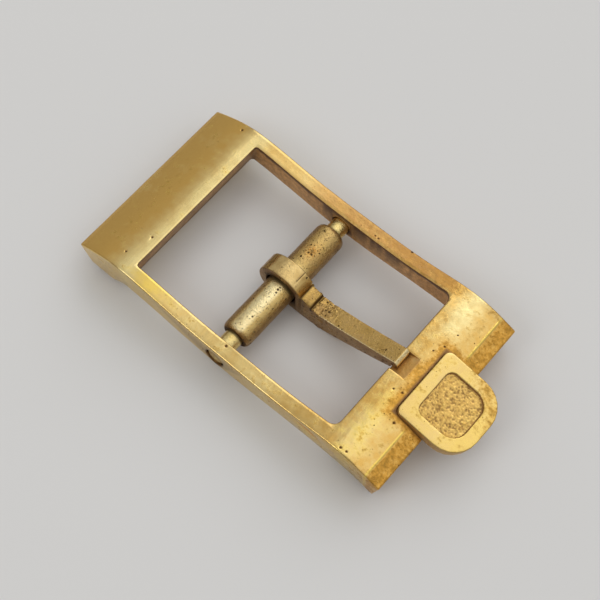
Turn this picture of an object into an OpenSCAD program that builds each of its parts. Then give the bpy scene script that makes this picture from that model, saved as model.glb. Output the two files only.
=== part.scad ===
// Watch buckle: a cast frame with a waved side, a tongue looped round a
// telescoping spring bar, and an applied plaque that overhangs the front bar.
// X runs from the rear bar to the front bar, Y along the spring bar, Z up.
// The origin is under the middle of the whole part, on the surface it lies on.

/* [Frame] */
// Length of the frame from the rear end to the front lip
frame_l = 22.1; // [20.5:0.02:25]
// Clear width between the rails, which is the width of the strap
strap_w = 10; // [9.6:0.1:14]
// Width of each side rail at the front bar
rail_w = 0.96; // [0.85:0.01:1.4]
// How much narrower the frame is over all at its rear end
rear_taper = 0.28; // [0:0.02:0.5]
// Length of the rear bar, from its end to the window
rear_bar_l = 3.86; // [3.2:0.02:4.6]
// Lean of the window's rear wall back under its top edge, in degrees
window_lean = 12.5; // [6:0.5:14]
// Length of the front bar, from the window to its lip
front_bar_l = 3.8; // [3.3:0.02:4.4]
// Height of the rear crest over the feet
rear_crest_h = 2.56; // [2.4:0.02:2.9]
// Distance of the rear crest behind the window
rear_crest_back = 0.3; // [0:0.05:0.8]
// Height of the front crest over the feet
front_crest_h = 2.56; // [2.4:0.02:2.9]
// Distance of the front crest in front of the window
front_crest_on = 0.75; // [0.3:0.05:1.1]
// Height of the top of the rails at the bottom of their wave
wave_h = 1.95; // [1.8:0.02:2.2]
// Height of the top edge of the rear end
rear_end_h = 1.33; // [0.9:0.02:1.8]
// Height of the top edge of the front lip
lip_h = 1.65; // [1.5:0.02:1.85]
// Length of the flat facet between the crease and the front lip
facet_l = 0.98; // [0.6:0.02:1.3]
// Height of the crease where that facet starts
crease_h = 2.1; // [2.05:0.02:2.2]
// How far the rear end leans under its top edge
rear_lean = 0.73; // [0.2:0.02:1]
// How far the front lip leans under its top edge
lip_lean = 0.37; // [0.1:0.02:0.6]
// Length of the flat rear foot
rear_foot_l = 1.45; // [1:0.05:1.8]
// Length of the flat front foot
front_foot_l = 0.24; // [0.15:0.01:0.5]
// Height of the hollow under the rear part of each rail
rear_arch_h = 0.75; // [0.5:0.05:0.9]
// Height of the hollow under the front part of each rail
front_arch_h = 0.65; // [0.4:0.05:0.8]
// Height of the underside of the rails below the spring bar
belly_h = 0.14; // [0:0.01:0.16]
// Radius of the window's corners at the rear bar
rear_corner_r = 0.2; // [0.15:0.05:0.6]
// Radius of the window's corners at the front bar
front_corner_r = 0.5; // [0.2:0.05:0.8]
// Radius of the frame's own four corners in plan
outer_corner_r = 0.15; // [0.1:0.05:0.5]

/* [Spring bar] */
// Outer diameter of the tube
tube_d = 1.87; // [1.75:0.01:2]
// Wall of the tube
tube_wall = 0.2; // [0.15:0.01:0.24]
// Gap between each end of the tube and the rail beside it
tube_end_gap = 0.8; // [0.4:0.05:1]
// Length of the crimped cone at each end of the tube
crimp_l = 0.4; // [0.3:0.05:0.6]
// Outer diameter of the crimped mouth
mouth_d = 1.46; // [1.4:0.01:1.55]
// Diameter of the pins
pin_d = 1.14; // [1:0.01:1.2]
// Clearance round a pin in its hole in the rail
pin_clear = 0.04; // [0.02:0.01:0.08]
// Clearance round a pin's shank in the crimped mouth
mouth_clear = 0.03; // [0.02:0.01:0.05]
// Clearance round a pin's head in the tube
head_clear = 0.04; // [0.02:0.01:0.08]
// Length of a pin's head
head_l = 0.5; // [0.3:0.05:0.8]
// How far a pin's end stands back from the rail's outer face
pin_recess = 0.08; // [0.02:0.01:0.15]
// Length of the small chamfer on a pin's end
pin_chamfer = 0.12; // [0.05:0.01:0.2]
// Height of the bar's axis over the feet
bar_h = 0.9; // [0.9:0.01:1]
// Distance of the bar's axis behind the middle of the frame
bar_back = 0.7; // [0.3:0.05:1.2]
// Diameter of the spring's wire
wire_d = 0.18; // [0.14:0.01:0.22]
// Clearance between the spring's coils and the tube
coil_clear = 0.12; // [0.08:0.01:0.2]
// Number of coils
coils = 9; // [6:1:9]

/* [Tongue] */
// Clearance between the tongue's loop and the tube
loop_clear = 0.1; // [0.03:0.005:0.12]
// Wall of the loop
loop_wall = 0.58; // [0.5:0.02:0.75]
// Wall of the loop where it is worn flat underneath
sole_wall = 0.415; // [0.35:0.005:0.5]
// Width of the loop along the bar
loop_w = 1.2; // [1.1:0.02:1.4]
// Width of the blade at its root
blade_w = 1.13; // [1.12:0.01:1.2]
// Width of the blade at its tip
tip_w = 1.1; // [0.9:0.01:1.12]
// How far the tongue sits off the middle of the bar
tongue_y = 0.28; // [0:0.01:0.3]
// Length of the shoulder that closes the loop, measured from the seam
shoulder_l = 0.72; // [0.6:0.02:0.9]
// Angle of the loop's closing seam above the bar's axis
seam_angle = 28; // [24:1:32]
// Width of the seam and of the groove behind the shoulder
seam_w = 0.1; // [0.06:0.01:0.16]
// Depth of the seam
seam_depth = 0.14; // [0.08:0.01:0.2]
// Height of the blade's top at its root, over the bar's axis
root_rise = 0.24; // [0.15:0.01:0.35]
// Height of the blade's top at its tip, over the notch's floor
tip_rise = 0.74; // [0.6:0.02:0.85]
// Height of the blade's side at its tip
tip_h = 0.98; // [0.85:0.02:1.1]
// How far the tongue's nose reaches into the notch
nose_l = 0.34; // [0.15:0.01:0.4]
// Length of the bevel on the nose
nose_bevel = 0.2; // [0.1:0.02:0.4]
// Gap between the nose and the notch's floor
rest_gap = 0.04; // [0.03:0.01:0.08]
// Gap between the blade's end and the front bar
end_gap = 0.08; // [0.06:0.01:0.15]

/* [Notch] */
// Length of the notch along the frame
notch_l = 1.05; // [0.7:0.05:1.2]
// Depth of the notch at the window
notch_depth = 0.4; // [0.3:0.02:0.5]
// Clearance each side of the tongue's tip if it lay in the notch's middle
notch_clear = 0.16; // [0.08:0.01:0.2]
// Gap between the tongue's tip and the notch's wall that it lies next to
side_gap = 0.04; // [0.02:0.01:0.08]

/* [Plaque] */
// Length of the plaque from the bar's crest to its free front edge
plaque_l = 4.35; // [4:0.05:4.8]
// Width of the plaque
plaque_w = 4.6; // [4:0.05:5]
// Thickness of the plaque
plaque_t = 0.8; // [0.65:0.05:0.9]
// Radius of the plaque's two inner corners
inner_r = 0.4; // [0.2:0.05:0.6]
// Radius of the plaque's two free front corners
front_r = 1.7; // [0.8:0.05:2]
// Distance from the front lip back to the plaque's inner edge
plaque_back = 1.93; // [1.9:0.01:2.1]
// Height of the plaque's inner top edge over the feet
plaque_h = 2.75; // [2.7:0.01:2.9]
// Downward tilt of the plaque, in degrees
plaque_tilt = 11; // [9:0.5:12]
// Width of the raised rim
rim_w = 0.78; // [0.6:0.02:1]
// Depth of the sunk field inside the rim
field_depth = 0.2; // [0.1:0.02:0.3]
// Clearance round the plaque in its seat
seat_clear = 0.01; // [0.005:0.005:0.03]
// Diameter of the two pegs under the plaque
peg_d = 0.6; // [0.4:0.05:0.7]
// Length of the pegs
peg_l = 0.5; // [0.3:0.05:0.6]
// Distance between the pegs
peg_gap = 2.4; // [1.8:0.1:3]
// Distance of the pegs from the plaque's inner edge
peg_in = 0.9; // [0.6:0.05:1.1]

/* [Hidden] */
$fn = 64;
eps = 0.01;
curve_steps = 14;
corner_steps = 6;
deep = 20;

// Stations along the frame, measured from the middle of its length
rear_x = -frame_l / 2;
lip_x = frame_l / 2;
window_rear_x = rear_x + rear_bar_l;
window_front_x = lip_x - front_bar_l;
rear_crest_x = window_rear_x - rear_crest_back;
front_crest_x = window_front_x + front_crest_on;
crease_x = lip_x - facet_l;
bar_x = -bar_back;
rear_foot_x = rear_x + rear_lean;
front_foot_x = lip_x - lip_lean;
rear_arch_x = window_rear_x - 0.2;
front_arch_x = window_front_x - 0.25;
front_w = strap_w + 2 * rail_w;
rear_w = front_w - rear_taper;

// The spring bar and the loop round it
tube_r = tube_d / 2;
tube_half = strap_w / 2 - tube_end_gap;
bore_r = tube_r - tube_wall;
pin_r = pin_d / 2;
mouth_r = pin_r + mouth_clear;
head_r = bore_r - head_clear;
head_out_y = tube_half - crimp_l - 0.02;
head_in_y = head_out_y - head_l;
rail_out_y = front_w / 2 - rear_taper / 2 * (lip_x - bar_x) / frame_l;
pin_out_y = rail_out_y - pin_recess;
wire_r = wire_d / 2;
coil_r = bore_r - coil_clear - wire_r;
loop_bore_r = tube_r + loop_clear;
loop_r = loop_bore_r + loop_wall;
loop_bottom_h = bar_h - loop_bore_r - sole_wall;

// Where the part stands: its lowest point is at Z = 0, its middle at X = 0
feet_z = max(0, -loop_bottom_h);
plaque_x = lip_x - plaque_back;
plaque_front_x = plaque_x + plaque_l * cos(plaque_tilt);
middle_x = (rear_x + plaque_front_x) / 2;
field_front_r = max(0.2, front_r - rim_w);
field_inner_r = field_front_r / 2;

// The notch and the tongue's stations, heights over the feet
notch_w = tip_w + 2 * notch_clear;
notch_y = tongue_y + side_gap - notch_clear;
notch_floor_h = top_h(window_front_x) - notch_depth;
notch_end_x = window_front_x + notch_l;
notch_slope = (top_h(notch_end_x) - notch_floor_h) / notch_l;
seam_x = bar_x + loop_r * cos(seam_angle);
seam_h = bar_h + loop_r * sin(seam_angle);
shoulder_x = seam_x + shoulder_l;
shoulder_h = seam_h - 0.28;
root_x = shoulder_x + 0.55;
root_h = bar_h + root_rise;
sole_x = bar_x + loop_r + 1.28;
blade_end_x = window_front_x - end_gap;
nose_x = window_front_x + nose_l;
tip_top_h = notch_floor_h + tip_rise;
tip_bottom_h = tip_top_h - tip_h;
nose_floor_h = notch_floor_h + rest_gap;

// From 0 to 1 along a slope that starts flat, steepens and ends flat
function wave(u) = (1 - cos(180 * u)) / 2;

// A line from 0 to 1 that bows below its chord by the share k
function bow(u, k) = (1 - k) * u + k * u * u;

// Height of the top of the frame over its feet, at a station x
function top_h(x) =
    x < rear_crest_x
        ? rear_end_h + (rear_crest_h - rear_end_h) * cos(90 * (rear_crest_x - x) / (rear_crest_x - rear_x))
    : x < 0
        ? wave_h + (rear_crest_h - wave_h) * wave(pow(x / rear_crest_x, 1.4))
    : x < front_crest_x
        ? wave_h + (front_crest_h - wave_h) * wave(pow(x / front_crest_x, 2))
    : x < crease_x
        ? front_crest_h - (front_crest_h - crease_h) * (1 - cos(90 * (x - front_crest_x) / (crease_x - front_crest_x)))
    : crease_h + (lip_h - crease_h) * (x - crease_x) / facet_l;

// Height of the underside of the frame over its feet, at a station x
function under_h(x) =
    x < rear_foot_x + rear_foot_l ? 0
    : x < rear_arch_x
        ? rear_arch_h * wave((x - rear_foot_x - rear_foot_l) / (rear_arch_x - rear_foot_x - rear_foot_l))
    : x < bar_x
        ? belly_h + (rear_arch_h - belly_h) * wave((bar_x - x) / (bar_x - rear_arch_x))
    : x < front_arch_x
        ? belly_h + (front_arch_h - belly_h) * wave((x - bar_x) / (front_arch_x - bar_x))
    : x < front_foot_x - front_foot_l
        ? front_arch_h * (1 - pow((x - front_arch_x) / (front_foot_x - front_foot_l - front_arch_x), 3))
    : 0;

// Stations spread evenly from a to b, without b itself
function spread(a, b, n) = [for (i = [0 : n - 1]) a + (b - a) * i / n];

// Points of a corner's arc round (x, y), turning by 90 degrees from a
function corner(x, y, r, a) =
    [for (i = [0 : corner_steps]) [x + r * cos(a + 90 * i / corner_steps), y + r * sin(a + 90 * i / corner_steps)]];

module place() {
    translate([-middle_x, 0, feet_z]) children();
}

// A side outline drawn in X and Z, given a width along Y about y = 0
module side_slab(width) {
    rotate([90, 0, 0]) linear_extrude(height = width, center = true) children();
}

// A plate from x = 0 to l, round by r0 at its two corners there and by r1 at l
module round_plate(l, w, r0, r1) {
    polygon(concat(
        corner(l - r1, w / 2 - r1, r1, 0),
        corner(r0, w / 2 - r0, r0, 90),
        corner(r0, -w / 2 + r0, r0, 180),
        corner(l - r1, -w / 2 + r1, r1, 270)));
}

// The frame's side view: two crests, a long wave between them, and two feet
module frame_side() {
    top_xs = concat(
        spread(rear_x, rear_crest_x, curve_steps),
        spread(rear_crest_x, 0, curve_steps),
        spread(0, front_crest_x, curve_steps),
        spread(front_crest_x, crease_x, curve_steps),
        [crease_x, lip_x]);
    under_xs = concat(
        [rear_foot_x],
        spread(rear_foot_x + rear_foot_l, rear_arch_x, curve_steps),
        spread(rear_arch_x, bar_x, curve_steps),
        spread(bar_x, front_arch_x, curve_steps),
        spread(front_arch_x, front_foot_x - front_foot_l, curve_steps),
        [front_foot_x - front_foot_l, front_foot_x]);
    polygon(concat(
        [for (x = top_xs) [x, top_h(x)]],
        [for (i = [len(under_xs) - 1 : -1 : 0]) [under_xs[i], under_h(under_xs[i])]]));
}

// The frame's plan outline, a little narrower at the rear
module frame_plan() {
    r = outer_corner_r;
    polygon(concat(
        corner(lip_x - r, front_w / 2 - r, r, 0),
        corner(rear_x + r, rear_w / 2 - r, r, 90),
        corner(rear_x + r, -rear_w / 2 + r, r, 180),
        corner(lip_x - r, -front_w / 2 + r, r, 270)));
}

// The front of the window, round at the front bar and square behind
module window_front_plan() {
    r = front_corner_r;
    x = window_rear_x + 2 * rear_corner_r;
    polygon(concat(
        corner(window_front_x - r, strap_w / 2 - r, r, 0),
        [[x, strap_w / 2], [x, -strap_w / 2]],
        corner(window_front_x - r, -strap_w / 2 + r, r, 270)));
}

// The rear of the window, round at the rear bar, which is at x = 0 here
module window_rear_plan() {
    r = rear_corner_r;
    polygon(concat(
        [[6 * r, strap_w / 2]],
        corner(r, strap_w / 2 - r, r, 90),
        corner(r, -strap_w / 2 + r, r, 180),
        [[6 * r, -strap_w / 2]]));
}

// The window between the rails, turned back under the rear bar's edge
module window() {
    translate([0, 0, -1]) linear_extrude(height = deep) window_front_plan();
    translate([window_rear_x, 0, top_h(window_rear_x)]) rotate([0, window_lean, 0])
        translate([0, 0, 1 - deep / 2]) linear_extrude(height = deep / 2) window_rear_plan();
}

// Where the plaque lies: its inner top edge, tilted down to the front
module plaque_place() {
    translate([plaque_x, 0, plaque_h]) rotate([0, plaque_tilt, 0]) children();
}

// The two pegs, or with more radius and length their holes
module pegs(more_r, more_l) {
    for (y = [-peg_gap / 2, peg_gap / 2])
        translate([peg_in, y, -plaque_t - peg_l - more_l])
            cylinder(r = peg_d / 2 + more_r, h = peg_l + more_l + eps);
}

// The notch that the tongue's nose drops into, rising to nothing at its front
module notch() {
    translate([0, notch_y, 0]) side_slab(notch_w)
        polygon([
            [window_front_x - 1, notch_floor_h],
            [window_front_x, notch_floor_h],
            [notch_end_x + eps, top_h(notch_end_x) + eps * notch_slope],
            [notch_end_x + eps, front_crest_h + 1],
            [window_front_x - 1, front_crest_h + 1]]);
}

module frame() {
    color("#d6a548") place() difference() {
        intersection() {
            side_slab(front_w + 1) frame_side();
            translate([0, 0, -1]) linear_extrude(height = deep) frame_plan();
        }
        window();
        on_bar(pin_r + pin_clear, front_w + 1);
        notch();
        plaque_place() {
            translate([-seat_clear, 0, -plaque_t])
                linear_extrude(height = deep)
                    round_plate(plaque_l + 2 * seat_clear, plaque_w + 2 * seat_clear,
                        inner_r + seat_clear, front_r + seat_clear);
            pegs(seat_clear, 0.05);
        }
    }
}

// A plain plaque with a raised rim round a sunk field, and two pegs below
module front_plaque() {
    color("#dcb763") place() plaque_place() {
        difference() {
            translate([0, 0, -plaque_t]) linear_extrude(height = plaque_t)
                round_plate(plaque_l, plaque_w, inner_r, front_r);
            translate([rim_w, 0, -field_depth]) linear_extrude(height = 1)
                round_plate(plaque_l - 2 * rim_w, plaque_w - 2 * rim_w, field_inner_r, field_front_r);
        }
        pegs(0, 0);
    }
}

// The tongue's side view in front of the bar: shoulder, blade and nose
module blade_side() {
    top = [for (i = [0 : curve_steps])
        let (u = i / curve_steps)
        [root_x + (nose_x - nose_bevel - root_x) * u, root_h + (tip_top_h - root_h) * bow(u, 0.25)]];
    under = [for (i = [curve_steps : -1 : 0])
        let (u = i / curve_steps)
        [sole_x + (blade_end_x - sole_x) * u, loop_bottom_h + (tip_bottom_h - loop_bottom_h) * bow(u, 0.15)]];
    polygon(concat(
        [[bar_x, loop_bottom_h],
        [bar_x, bar_h],
        [seam_x - 0.3, seam_h - 0.1],
        [seam_x, seam_h],
        [shoulder_x, shoulder_h],
        [shoulder_x + seam_w, shoulder_h - 0.22],
        [shoulder_x + 2 * seam_w, shoulder_h - 0.16]],
        top,
        [[nose_x, tip_top_h - nose_bevel],
        [nose_x, nose_floor_h + notch_slope * nose_l],
        [window_front_x, nose_floor_h],
        [blade_end_x, nose_floor_h]],
        under));
}

// The tongue's plan: the loop's full width, then a blade that narrows
module tongue_plan() {
    translate([bar_x - loop_r - 1, -loop_w / 2]) square([2 * loop_r + 1, loop_w]);
    polygon([
        [bar_x, -blade_w / 2],
        [nose_x + 1, -tip_w / 2],
        [nose_x + 1, tip_w / 2],
        [bar_x, blade_w / 2]]);
}

// A round bar of any radius and length along Y, on the spring bar's axis
module on_bar(r, l) {
    translate([bar_x, 0, bar_h]) rotate([90, 0, 0]) cylinder(r = r, h = l, center = true);
}

module tongue() {
    color("#c9a862") place() translate([0, tongue_y, 0]) difference() {
        intersection() {
            union() {
                on_bar(loop_r, loop_w);
                side_slab(loop_w) blade_side();
            }
            translate([0, 0, loop_bottom_h]) linear_extrude(height = deep) tongue_plan();
        }
        on_bar(loop_bore_r, loop_w + 1);
        translate([bar_x, 0, bar_h]) rotate([0, -seam_angle, 0])
            translate([loop_r - seam_depth, -loop_w, -seam_w / 2]) cube([1, 2 * loop_w, seam_w]);
    }
}

// The tube of the spring bar, crimped to a cone at each end over the pins
module bar_tube() {
    color("#9a8148") place() translate([bar_x, 0, bar_h]) rotate([90, 0, 0]) rotate_extrude()
        polygon([
            [tube_r, -tube_half + crimp_l],
            [tube_r, tube_half - crimp_l],
            [(tube_r + mouth_d / 2) / 2 + 0.04, tube_half - crimp_l / 3],
            [mouth_d / 2, tube_half],
            [mouth_r, tube_half],
            [mouth_r, tube_half - crimp_l],
            [bore_r, tube_half - crimp_l],
            [bore_r, -tube_half + crimp_l],
            [mouth_r, -tube_half + crimp_l],
            [mouth_r, -tube_half],
            [mouth_d / 2, -tube_half],
            [(tube_r + mouth_d / 2) / 2 + 0.04, -tube_half + crimp_l / 3]]);
}

// One pin: a head kept in the tube, and a shank out to the rail's hole
module bar_pin(side) {
    color("#d8b65c") place() translate([bar_x, 0, bar_h]) rotate([-90 * side, 0, 0]) rotate_extrude()
        polygon([
            [0, head_in_y],
            [head_r, head_in_y],
            [head_r, head_out_y],
            [pin_r, head_out_y],
            [pin_r, pin_out_y - pin_chamfer],
            [pin_r - pin_chamfer, pin_out_y],
            [0, pin_out_y]]);
}

module bar_pin_left() {
    bar_pin(-1);
}

module bar_pin_right() {
    bar_pin(1);
}

// The coil spring that pushes the pins apart, swept as one unbroken tube
coil_end_y = head_in_y - wire_r - 0.03;
rings_per_coil = 8;
wire_sides = 6;
rings = coils * rings_per_coil;
pitch = 2 * coil_end_y / coils;

function coil_point(i) =
    [coil_r * cos(360 * i / rings_per_coil), -coil_end_y + pitch * i / rings_per_coil,
     coil_r * sin(360 * i / rings_per_coil)];

function coil_out(i) = [cos(360 * i / rings_per_coil), 0, sin(360 * i / rings_per_coil)];

function coil_along(i) =
    let (a = 360 * i / rings_per_coil,
        t = [-sin(a) * 2 * PI * coil_r, pitch, cos(a) * 2 * PI * coil_r])
    t / norm(t);

function wire_ring(i) =
    let (out = coil_out(i), up = cross(coil_along(i), out))
    [for (k = [0 : wire_sides - 1])
        coil_point(i) + wire_r * (cos(360 * k / wire_sides) * out + sin(360 * k / wire_sides) * up)];

// Least gap between the wire and itself, from points more than half a coil apart
coil_gap = min([for (i = [0 : rings], j = [0 : rings])
    if (j - i > rings_per_coil / 2 && j - i <= 2 * rings_per_coil)
        norm(coil_point(j) - coil_point(i))]) - wire_d;
echo(coil_gap = coil_gap);

module bar_spring() {
    first_end = [for (k = [1 : wire_sides - 2]) [0, k, k + 1]];
    walls = [for (i = [0 : rings - 1], k = [0 : wire_sides - 1])
        let (a = i * wire_sides, b = a + wire_sides, n = (k + 1) % wire_sides)
        each [[a + k, b + k, b + n], [a + k, b + n, a + n]]];
    last = rings * wire_sides;
    last_end = [for (k = [1 : wire_sides - 2]) [last, last + k + 1, last + k]];
    color("#b9bcc0") place() translate([bar_x, 0, bar_h])
        polyhedron(
            points = [for (i = [0 : rings]) each wire_ring(i)],
            faces = concat(first_end, walls, last_end));
}

frame();
front_plaque();
tongue();
bar_tube();
bar_pin_left();
bar_pin_right();
bar_spring();
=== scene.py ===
from math import cos, exp, pi, radians, sin

import bmesh
import bpy
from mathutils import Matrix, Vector, kdtree, noise


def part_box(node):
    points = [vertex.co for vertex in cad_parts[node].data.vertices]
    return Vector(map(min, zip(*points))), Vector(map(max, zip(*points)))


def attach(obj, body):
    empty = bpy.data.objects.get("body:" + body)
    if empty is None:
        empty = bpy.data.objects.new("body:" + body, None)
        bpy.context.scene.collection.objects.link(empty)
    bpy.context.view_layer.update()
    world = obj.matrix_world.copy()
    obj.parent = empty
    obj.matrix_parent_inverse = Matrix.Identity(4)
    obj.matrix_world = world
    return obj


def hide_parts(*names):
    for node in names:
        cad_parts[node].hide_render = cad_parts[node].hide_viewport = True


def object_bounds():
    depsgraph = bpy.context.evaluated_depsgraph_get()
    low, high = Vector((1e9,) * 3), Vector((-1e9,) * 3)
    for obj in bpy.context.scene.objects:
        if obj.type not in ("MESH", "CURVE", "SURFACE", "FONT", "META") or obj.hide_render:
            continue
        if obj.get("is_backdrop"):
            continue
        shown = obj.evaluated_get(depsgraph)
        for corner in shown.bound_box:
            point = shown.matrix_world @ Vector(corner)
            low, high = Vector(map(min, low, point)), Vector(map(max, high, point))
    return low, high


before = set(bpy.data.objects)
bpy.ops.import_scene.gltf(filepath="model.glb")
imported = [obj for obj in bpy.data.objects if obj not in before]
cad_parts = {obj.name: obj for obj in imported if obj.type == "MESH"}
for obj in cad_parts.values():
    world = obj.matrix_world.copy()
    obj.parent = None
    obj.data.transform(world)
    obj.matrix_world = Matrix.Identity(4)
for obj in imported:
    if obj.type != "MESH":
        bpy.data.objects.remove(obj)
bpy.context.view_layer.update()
MM = 0.001

view_azimuth = radians(40.757)
view_elevation = radians(66.169)
view_distance = 77.05 * MM
aim = Vector((-0.845, 0.176, 0.515)) * MM
toward_camera = Vector((
    sin(view_azimuth) * cos(view_elevation),
    -cos(view_azimuth) * cos(view_elevation),
    sin(view_elevation)))
camera = bpy.data.objects.new("camera", bpy.data.cameras.new("camera"))
bpy.context.scene.collection.objects.link(camera)
camera.data.lens = 81.13
camera.data.sensor_width = 36.0
camera.data.clip_start = 5 * MM
camera.data.clip_end = 4.0
camera.location = aim + view_distance * toward_camera
camera.rotation_mode = "QUATERNION"
camera.rotation_quaternion = (-toward_camera).to_track_quat("-Z", "Y")
bpy.context.scene.camera = camera
bpy.context.scene.view_settings.view_transform = "Standard"


# The floor is a plain sheet of pale warm grey paper under the buckle, which
# stands on the sole of its tongue's loop at Z = 0.
def add_node(tree, kind, **values):
    """A shader node; values name its attributes, or its inputs by their label."""
    made = tree.nodes.new(kind)
    for key, value in values.items():
        label = key.replace("_", " ")
        if label in made.inputs:
            made.inputs[label].default_value = value
        else:
            setattr(made, key, value)
    return made


def new_material(name):
    material = bpy.data.materials.new(name)
    material.use_nodes = True
    return material, material.node_tree, material.node_tree.nodes["Principled BSDF"]


paper, tree, shader = new_material("paper")
shader.inputs["Base Color"].default_value = (0.72, 0.712, 0.697, 1)
shader.inputs["Roughness"].default_value = 0.9
shader.inputs["Specular IOR Level"].default_value = 0.1
floor_half = 600 * MM
floor_mesh = bpy.data.meshes.new("floor")
bm = bmesh.new()
bmesh.ops.create_grid(bm, x_segments=1, y_segments=1, size=floor_half)
bm.to_mesh(floor_mesh)
bm.free()
floor = bpy.data.objects.new("floor", floor_mesh)
bpy.context.scene.collection.objects.link(floor)
floor.data.materials.append(paper)
floor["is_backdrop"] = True

# The light is a soft studio: a pale room, brightest high over the front right corner
# and dim on the camera's side. A wide soft panel on the right throws the faint shadow,
# and a smaller one on the left draws the bright lines along the edges.
brightest = Vector((0.29, 0.31, 0.905)).normalized()
world = bpy.data.worlds.new("studio")
bpy.context.scene.world = world
world.use_nodes = True
tree = world.node_tree
sky = tree.nodes["Background"]


def sky_ramp(place, levels):
    """A grey that follows the levels as the place goes from 0 to 1."""
    ramp = add_node(tree, "ShaderNodeValToRGB")
    while len(ramp.color_ramp.elements) < len(levels):
        ramp.color_ramp.elements.new(0.5)
    for element, (position, level) in zip(ramp.color_ramp.elements, levels):
        element.position = position
        element.color = (level, level, level, 1)
    tree.links.new(place, ramp.inputs["Fac"])
    return ramp.outputs["Color"]


direction = add_node(tree, "ShaderNodeTexCoord")
closeness = add_node(tree, "ShaderNodeVectorMath", operation="DOT_PRODUCT")
closeness.inputs[1].default_value = brightest
tree.links.new(direction.outputs["Generated"], closeness.inputs[0])
room_levels = (
    (0.0, 0.48), (0.28, 0.55), (0.49, 0.56), (0.62, 0.59),
    (0.74, 0.66), (0.85, 0.78), (0.93, 1.03), (1.0, 1.15))
overhead = sky_ramp(closeness.outputs["Value"], room_levels)
sideways = add_node(tree, "ShaderNodeSeparateXYZ")
tree.links.new(direction.outputs["Generated"], sideways.inputs["Vector"])
halved = add_node(tree, "ShaderNodeMath", operation="MULTIPLY_ADD")
halved.inputs[1].default_value = 0.5
halved.inputs[2].default_value = 0.5
tree.links.new(sideways.outputs["Y"], halved.inputs[0])
near_side_levels = ((0.10, 0.70), (0.35, 0.86), (0.60, 1.0))
dimming = sky_ramp(halved.outputs[0], near_side_levels)
together = add_node(tree, "ShaderNodeVectorMath", operation="MULTIPLY")
tree.links.new(overhead, together.inputs[0])
tree.links.new(dimming, together.inputs[1])
tree.links.new(together.outputs["Vector"], sky.inputs["Color"])
sky.inputs["Strength"].default_value = 1.0


def soft_lamp(name, place, size, power):
    """A square area lamp at a place in metres, turned to the buckle."""
    lamp = bpy.data.objects.new(name, bpy.data.lights.new(name, "AREA"))
    bpy.context.scene.collection.objects.link(lamp)
    lamp.data.shape = "SQUARE"
    lamp.data.size = size
    lamp.data.energy = power
    lamp.location = place
    lamp.rotation_mode = "QUATERNION"
    lamp.rotation_quaternion = (-Vector(place)).to_track_quat("-Z", "Y")


soft_lamp("soft_panel", place=(-0.08, 0.37, 0.31), size=0.42, power=0.52)
soft_lamp("edge_panel", place=(-0.12, -0.29, 0.325), size=0.20, power=0.27)


# The frame is one casting of brass, polished and gold plated. Long wear has
# rounded its edges, pitted it and left orange tarnish round the plaque.
def solid_copy(node, name, least=0.01):
    """A new mesh of the solid's shape, without edges shorter than the least in millimetres."""
    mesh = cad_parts[node].data.copy()
    mesh.name = name
    bm = bmesh.new()
    bm.from_mesh(mesh)
    bmesh.ops.remove_doubles(bm, verts=bm.verts, dist=least * MM)
    return mesh, bm


def join_faces(bm):
    bmesh.ops.dissolve_limit(bm, angle_limit=radians(0.6), verts=bm.verts, edges=bm.edges)


def round_edges(bm, width, segments, least_angle, chosen=lambda middle: True):
    """Rounds the edges sharper than an angle in degrees whose middle, in millimetres, is chosen."""
    edges = []
    for edge in bm.edges:
        middle = (edge.verts[0].co + edge.verts[1].co) / 2 / MM
        if edge.is_manifold and edge.calc_face_angle(0) > radians(least_angle) and chosen(middle):
            edges.append(edge)
    bmesh.ops.bevel(
        bm, geom=edges, offset=width * MM, segments=segments, profile=0.5,
        affect="EDGES", material=-1, clamp_overlap=False)


def corners_of(verts):
    """The low and the high corner of the box round some vertices, in metres."""
    return [Vector([end(vert.co[i] for vert in verts) for i in range(3)]) for end in (min, max)]


def cut_rows(bm, axis, step, zone=None, chosen=lambda face: True):
    """Cuts the chosen faces by planes square to an axis, a step in millimetres apart.

    A zone is two corners in millimetres. Without one the whole mesh is cut.
    """
    low, high = [Vector(corner) * MM for corner in zone] if zone else corners_of(bm.verts)
    across = Vector([1 if i == axis else 0 for i in range(3)])
    gap = step * MM
    parts = {}
    for face in bm.faces:
        face_low, face_high = corners_of(face.verts)
        touches = all(face_low[i] <= high[i] and face_high[i] >= low[i] for i in range(3))
        if touches and chosen(face):
            parts.update(dict.fromkeys([face, *face.verts, *face.edges]))
    parts = list(parts)
    for row in range(1, int((high[axis] - low[axis]) / gap) + 1):
        place = low + across * gap * row
        cut = bmesh.ops.bisect_plane(bm, geom=parts, plane_co=place, plane_no=across, dist=0.0005 * MM)
        parts = cut["geom"]


def ramp_up(value, low, high):
    """0 below low, 1 above high, and smooth between them."""
    share = min(1.0, max(0.0, (value - low) / (high - low)))
    return share * share * (3 - 2 * share)


def bell(value, centre, reach):
    """1 at the centre, fading to nothing over about two reaches."""
    return exp(-((value - centre) / reach) ** 2)


def ripple(place, size):
    """Smooth noise from -1 to 1 with features of a size in millimetres."""
    return noise.noise(place / (size * MM))


def paint(bm, name, weight):
    """Stores a weight at each vertex, worked out in millimetres, for the materials."""
    layer = bm.verts.layers.float.new(name)
    for vert in bm.verts:
        vert[layer] = min(1.0, max(0.0, weight(vert.co / MM, vert.normal)))


def finish_piece(mesh, bm, name, node, body, material):
    """Puts a mesh in the scene as a smooth piece that stands for a solid."""
    for face in bm.faces:
        face.smooth = True
    bm.to_mesh(mesh)
    bm.free()
    mesh.materials.clear()
    mesh.materials.append(material)
    piece = bpy.data.objects.new(name, mesh)
    bpy.context.scene.collection.objects.link(piece)
    weights = piece.modifiers.new("flat faces", "WEIGHTED_NORMAL")
    weights.keep_sharp = True
    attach(piece, body)
    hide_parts(node)
    return piece


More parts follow.
